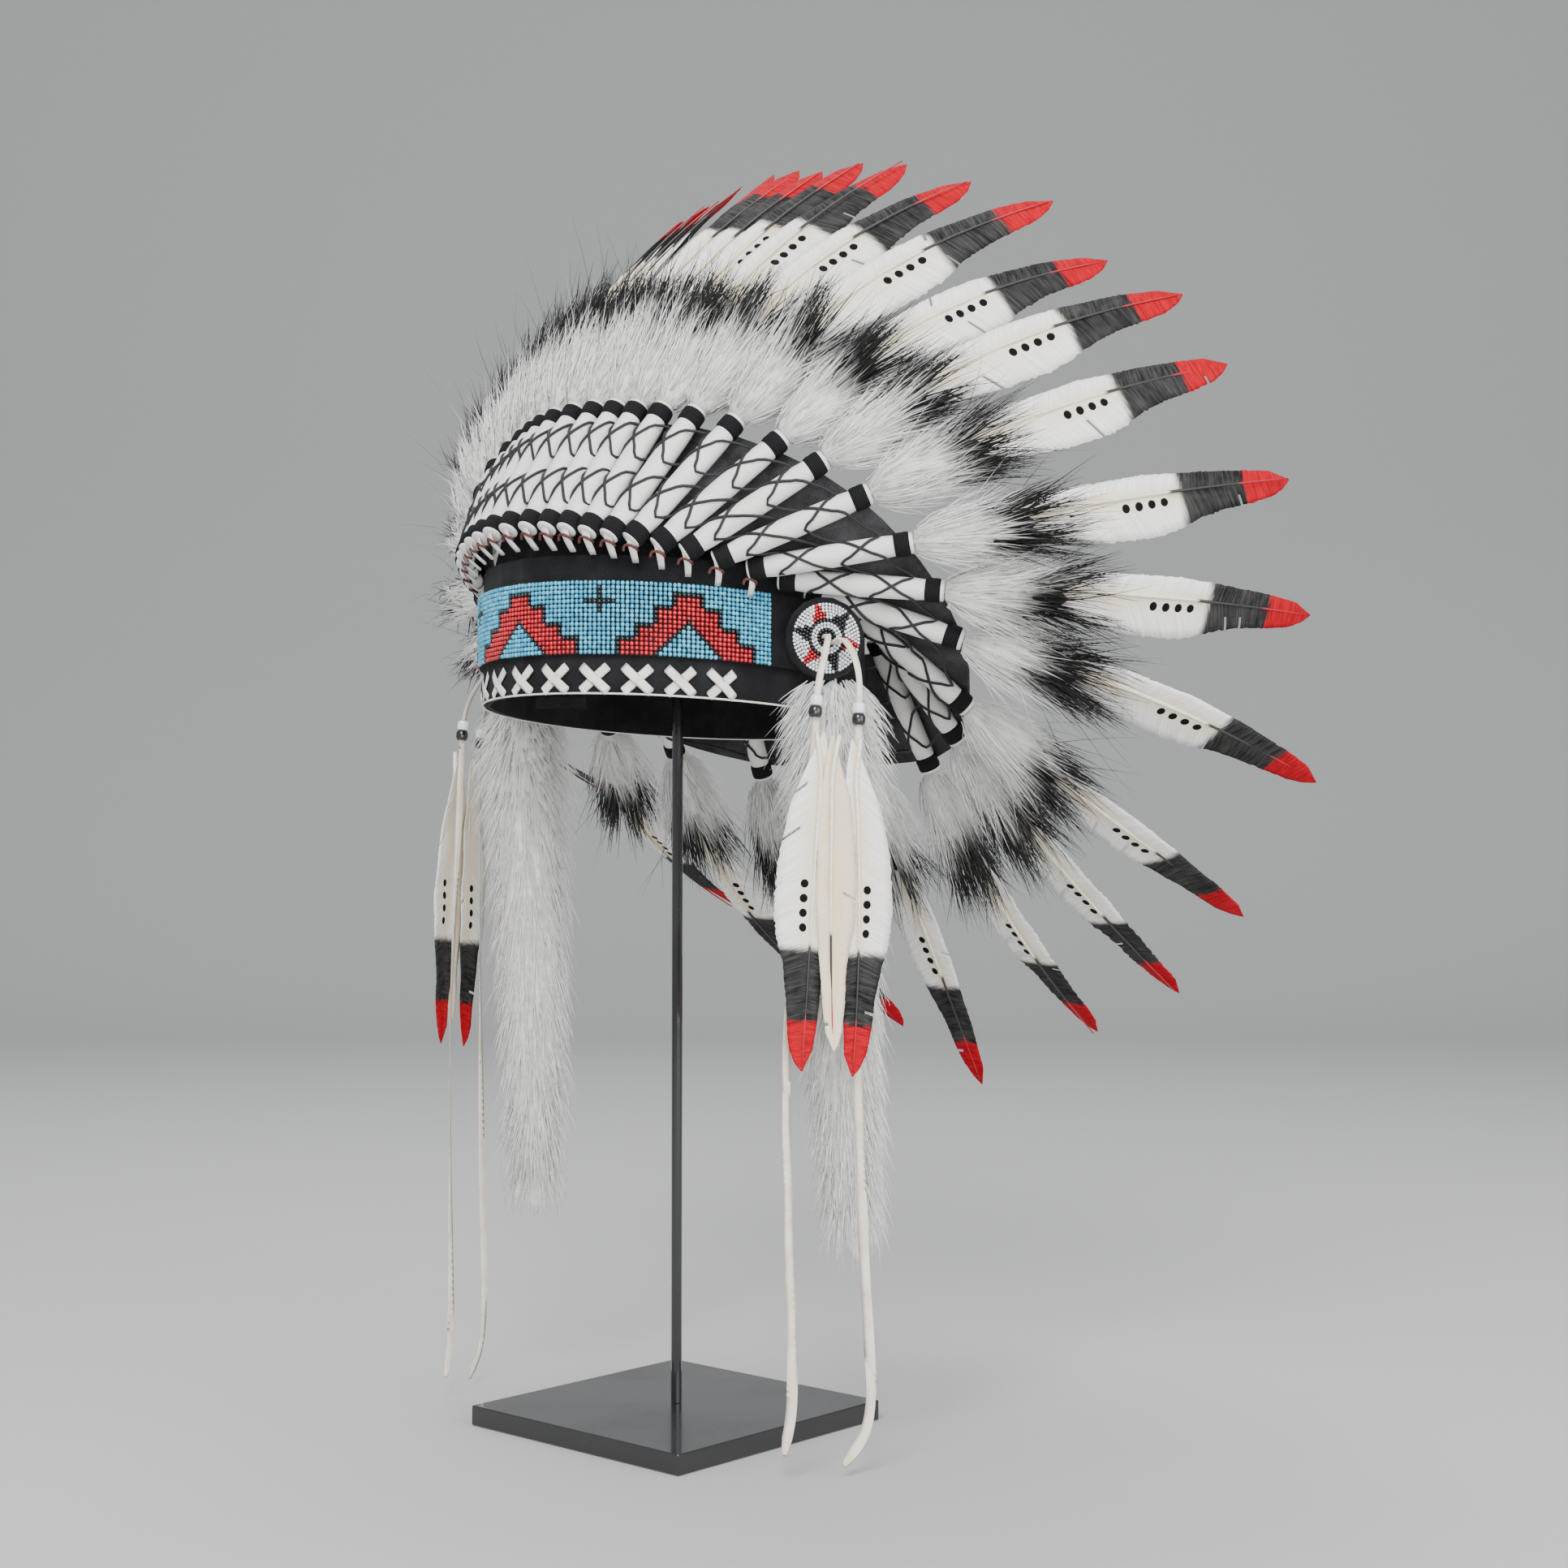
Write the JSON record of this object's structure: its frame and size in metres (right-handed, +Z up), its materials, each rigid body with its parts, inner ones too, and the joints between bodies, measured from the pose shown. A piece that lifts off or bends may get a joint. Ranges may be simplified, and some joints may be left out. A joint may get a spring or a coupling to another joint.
{
  "type": "feathered headdress on a display stand",
  "caption": "Feathered headdress with a beaded brow band, fur-wrapped quills, beaded discs and hanging pendants at the temples, on a plain rod and square plate.",
  "frame": {"origin": "middle of the stand plate's underside", "axes": "+Z up along the rod, -Y the way the wearer faces, +X the wearer's left"},
  "size_m": [0.4858, 0.3723, 0.6204],
  "materials": {
    "black_steel": "gloss black paint",
    "black_felt": "dense wool felt",
    "grey_felt": "dense wool felt",
    "blue_beads": "opaque glass seed beads",
    "white_beads": "opaque glass seed beads",
    "white_leather": "smooth white leather",
    "white_fur": "white fur with black tips",
    "feather": "feather, white with a charcoal and red end",
    "suede": "cream suede",
    "glass_beads": "glossy black and white beads"
  },
  "bodies": {
    "root": {"stand_plate": "black_steel", "stand_rod": "black_steel", "headband": "black_felt", "cap_felt": "black_felt", "crown_felt": "grey_felt", "bead_strip": "blue_beads", "rosette_left": "white_beads", "rosette_right": "white_beads", "quill_rolls": "white_leather", "fur_collar": "white_fur", "fur_tail_left": "white_fur", "fur_tail_right": "white_fur", "feather_01": "feather", "feather_02": "feather", "feather_03": "feather", "feather_04": "feather", "feather_05": "feather", "feather_06": "feather", "feather_07": "feather", "feather_08": "feather", "feather_09": "feather", "feather_10": "feather", "feather_11": "feather", "feather_12": "feather", "feather_13": "feather", "feather_14": "feather", "feather_15": "feather", "feather_16": "feather", "feather_17": "feather", "feather_18": "feather", "feather_19": "feather", "feather_20": "feather", "feather_21": "feather", "feather_22": "feather", "feather_23": "feather", "feather_24": "feather", "feather_25": "feather", "feather_26": "feather", "feather_27": "feather", "feather_28": "feather", "feather_29": "feather", "feather_30": "feather", "feather_31": "feather", "feather_32": "feather", "pendant_feather_front_left": "feather", "pendant_feather_middle_left": "feather", "pendant_feather_back_left": "feather", "pendant_feather_front_right": "feather", "pendant_feather_middle_right": "feather", "pendant_feather_back_right": "feather", "lace_front_left": "suede", "lace_back_left": "suede", "lace_front_right": "suede", "lace_back_right": "suede", "beads_front_left": "glass_beads", "beads_back_left": "glass_beads", "beads_front_right": "glass_beads", "beads_back_right": "glass_beads"}
  },
  "joints": []
}
